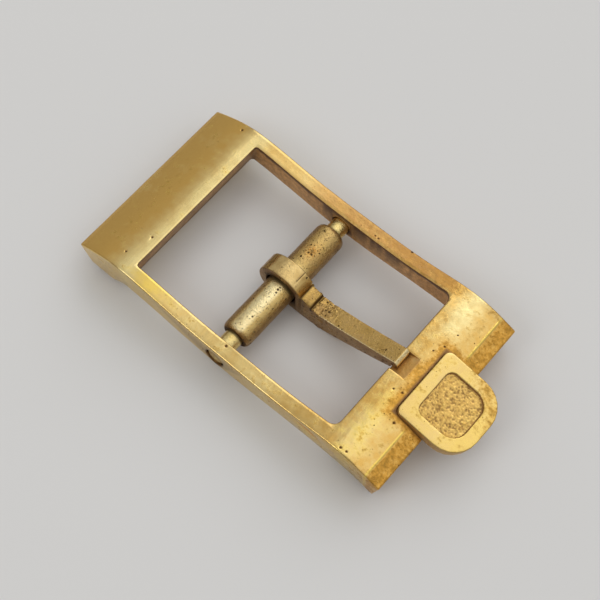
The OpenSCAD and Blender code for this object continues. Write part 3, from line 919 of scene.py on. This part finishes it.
paint(bm, "rough", tongue_rough)
paint(bm, "line", tongue_lines_and_shade)
paint(bm, "polished", tongue_polished_and_highlight)
paint(bm, "pitted", tongue_pitted)
skin = bm.verts.layers.float["rough"]
line = bm.verts.layers.float["line"]
hollows_shift = Vector((0, 1, 0))


def crust(vert, place):
    """How far the rough skin stands proud where the blade begins, less its hollows."""
    ahead = place.x - groove_x
    root = ramp_up(ahead, 0.0, 0.15) * ramp_up(2.0 - ahead, 0.0, 1.2)
    lumps = 0.030 * ripple(vert.co, 0.16) + 0.035 * ripple(vert.co, 0.34)
    hollows = 0.05 * ramp_up(ripple(vert.co + hollows_shift, 0.22), 0.25, 0.55)
    return root * (lumps - hollows)


def shoulder_sag(vert, place):
    """How far the shoulder between seam and groove falls toward its two sides."""
    if place.z <= 1.9 or not seam_x + 0.03 < place.x < groove_x - 0.02:
        return 0.0
    off_middle = abs(place.y - tongue_y) / loop_half
    return 0.07 * off_middle ** 3 + 0.02 * ripple(vert.co, 0.3)


def score_depth(vert, place):
    """How deep a place lies in the scored lines."""
    on_top = place.z > 2.2 and abs(vert.normal.y) < 0.5
    return 0.02 * vert[line] if on_top and place.x < on_loop(front_score) + 0.1 else 0.0


shifts = []
for vert in bm.verts:
    place = vert.co / MM
    waviness = vert[skin] * 0.010 * ripple(vert.co, 0.9)
    height = crust(vert, place) + waviness - shoulder_sag(vert, place) - score_depth(vert, place)
    shifts.append(vert.normal * height * MM)
for vert, shift in zip(bm.verts, shifts):
    vert.co += shift

    # The loop's sole stays on the floor
    vert.co.z = max(vert.co.z, 0.0)
finish_piece(mesh, bm, "tongue_strip", node="tongue", body="tongue", material=pale_brass)


# The spring bar's tube is drawn brass, crimped at both ends over the pins. It
# is dull with age and finely pitted, with one rusty spot beside the loop.
def turned(outline, segments):
    """A ring shape turned about the bar's axis from an outline of radii and places along Y."""
    bm = bmesh.new()
    verts = [bm.verts.new((bar_axis.x + radius * MM, y * MM, bar_axis.z)) for radius, y in outline]
    edges = [bm.edges.new((a, b)) for a, b in zip(verts, verts[1:] + verts[:1])]
    bmesh.ops.spin(
        bm, geom=verts + edges, cent=bar_axis, axis=(0, 1, 0), angle=2 * pi,
        steps=segments, use_merge=True)
    bmesh.ops.recalc_face_normals(bm, faces=bm.faces)
    return bm


def arc(middle, radii, start, end, count):
    """Points of an elliptic arc in radius and Y, its angles in degrees from the radius."""
    turns = [radians(start + (end - start) * i / count) for i in range(count + 1)]
    return [(middle[0] + radii[0] * cos(t), middle[1] + radii[1] * sin(t)) for t in turns]


tube_r = (bar_high.z - bar_low.z) / 2 / MM
tube_half = bar_high.y / MM
mouth_r = 0.73
throat_r = 0.60
tube_wall = 0.2
bore_r = tube_r - tube_wall
crimp_l = 0.4
body_half = tube_half - crimp_l
body_rows = 60
shoulder = arc((mouth_r, body_half), (tube_r - mouth_r, crimp_l), start=0, end=90, count=6)
body = [(tube_r, body_half * (2 * i / body_rows - 1)) for i in range(1, body_rows)]
inside = [
    (throat_r + 0.03, tube_half), (throat_r, tube_half - 0.04), (throat_r, body_half), (bore_r, body_half)]
tube_outline = [(r, -y) for r, y in reversed(shoulder)] + body + shoulder
tube_outline += inside + [(r, -y) for r, y in reversed(inside)]
tube_brass = bare_brass(
    "tube_brass", dark=(0.46, 0.29, 0.085), light=(0.83, 0.61, 0.24), brown=(0.33, 0.19, 0.06),
    rough=0.17, pit_scale=4.2, pit_share=0.5, turn_lines=(3, 0.5, 3))
bm = turned(tube_outline, segments=96)
bm.normal_update()
rust_spot = Vector((-1.75, 2.28, 2.38))
rubbed_and_lit_side = Vector((0.27, 0, 0.96))


def tube_dull_and_shade(place, normal):
    """Dull at the crimped ends and on the far part, and browner as painted shade on the sides that face away
    from the top; the top is rubbed clean.
    """
    ends = 0.85 * ramp_up(abs(place.y), body_half - 0.1, tube_half - 0.1)
    # Painted shade on the tube's sides
    below = 0.85 * ramp_up(0.92 - normal.dot(rubbed_and_lit_side), 0.0, 0.35)
    far_part = 0.48 * ramp_up(place.y, 0.9, 1.5)
    return max(ends, below, far_part, 0.22)


def tube_lines_and_shade(place, normal):
    """Dark beside the tongue's loop, soiling with painted shade, dark at the crimped mouths, and the rusty
    spot's core.
    """
    beside = bell(abs(place.y - tongue_y), loop_half + 0.04, 0.13)
    mouth = ramp_up(abs(place.y), tube_half - 0.06, tube_half)
    rust_core = 0.8 * bell((place - rust_spot).length, 0, 0.11)
    return max(0.75 * beside, 0.8 * mouth, rust_core)


paint(bm, "rough", tube_dull_and_shade)
paint(bm, "line", tube_lines_and_shade)
paint(bm, "rust", lambda place, normal: bell((place - rust_spot).length, 0, 0.42))
# A painted highlight along the top of the tube's near part, which is rubbed bright there too
paint(bm, "polished", lambda place, normal: 0.9 * ramp_up(normal.z, 0.84, 0.98) * ramp_up(-place.y, 0.2, 0.6))
paint(bm, "pitted", lambda place, normal: 0.3 * ramp_up(-place.y, 0.5, 1.0))
for vert in bm.verts:
    vert.co += vert.normal * 0.007 * ripple(vert.co, 0.8) * MM
mesh = bpy.data.meshes.new("bar_sleeve")
finish_piece(
    mesh, bm, "bar_sleeve", node="bar_tube", body="spring_bar", material=tube_brass)

# The two pins are turned brass, kept in the tube by their heads. They slide in it and stand in the rails'
# holes, bright along their necks and browner on their ends as painted shade in the holes.
pin_brass = bare_brass(
    "pin_brass", dark=(0.74, 0.54, 0.18), light=(0.88, 0.71, 0.32), brown=(0.50, 0.33, 0.11),
    rough=0.24, pit_scale=4.0, pit_share=0.12, turn_lines=(1, 14, 1))
pin_r = 0.57
pin_chamfer = 0.12
head_l = 0.5
head_chamfer = 0.05
rings = 18
ring_depth = 0.012
spring_gap = 0.01
centre_r = 0.0005
for side, name in ((-1, "left"), (1, "right")):
    node = "bar_pin_" + name
    low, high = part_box(node)
    inner = min(abs(low.y), abs(high.y)) / MM + spring_gap
    outer = max(abs(low.y), abs(high.y)) / MM
    head_r = (high.z - low.z) / 2 / MM
    head_outer = inner + head_l
    outline = [
        (centre_r, inner), (head_r - head_chamfer, inner), (head_r, inner + head_chamfer),
        (head_r, head_outer)]

    # Turning marks: fine rings along the neck
    for row in range(rings + 1):
        ring_r = pin_r - ring_depth * (row % 2)
        outline.append((ring_r, head_outer + 0.05 + (outer - 0.2 - head_outer) * row / rings))
    outline += [
        (pin_r, outer - pin_chamfer), (pin_r - pin_chamfer * 0.35, outer - pin_chamfer * 0.3),
        (pin_r - pin_chamfer, outer), (centre_r, outer)]
    bm = turned([(r, side * y) for r, y in outline], segments=64)
    bm.normal_update()
    # The end faces browner, as painted shade in the rails' holes
    paint(bm, "rough", lambda place, normal: 0.2 + 0.8 * ramp_up(abs(normal.y), 0.8, 0.95))
    paint(bm, "line", lambda place, normal: 0.85 * bell(abs(place.y), tube_half + 0.02, 0.09))
    mesh = bpy.data.meshes.new("pin_" + name)
    finish_piece(mesh, bm, "pin_" + name, node, body=name + "_pin", material=pin_brass)

# The coil spring that pushes the pins apart is drawn steel wire. It is hidden
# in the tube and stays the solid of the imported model, with its own material.
spring_steel, tree, shader = new_material("spring_steel")
vector = coordinates(tree)
drawn = cloud(tree, vector, 6.0, 3)
colour = blend_colour(tree, remap(tree, drawn, 0.35, 0.65), (0.48, 0.48, 0.49), (0.66, 0.66, 0.67))
tree.links.new(colour, shader.inputs["Base Color"])
shader.inputs["Metallic"].default_value = 1.0
tree.links.new(remap(tree, drawn, 0.3, 0.7, 0.24, 0.38), shader.inputs["Roughness"])
add_relief(tree, shader, times(tree, drawn, 0.003))
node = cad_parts["bar_spring"]
node.data.materials.clear()
node.data.materials.append(spring_steel)

low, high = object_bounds()
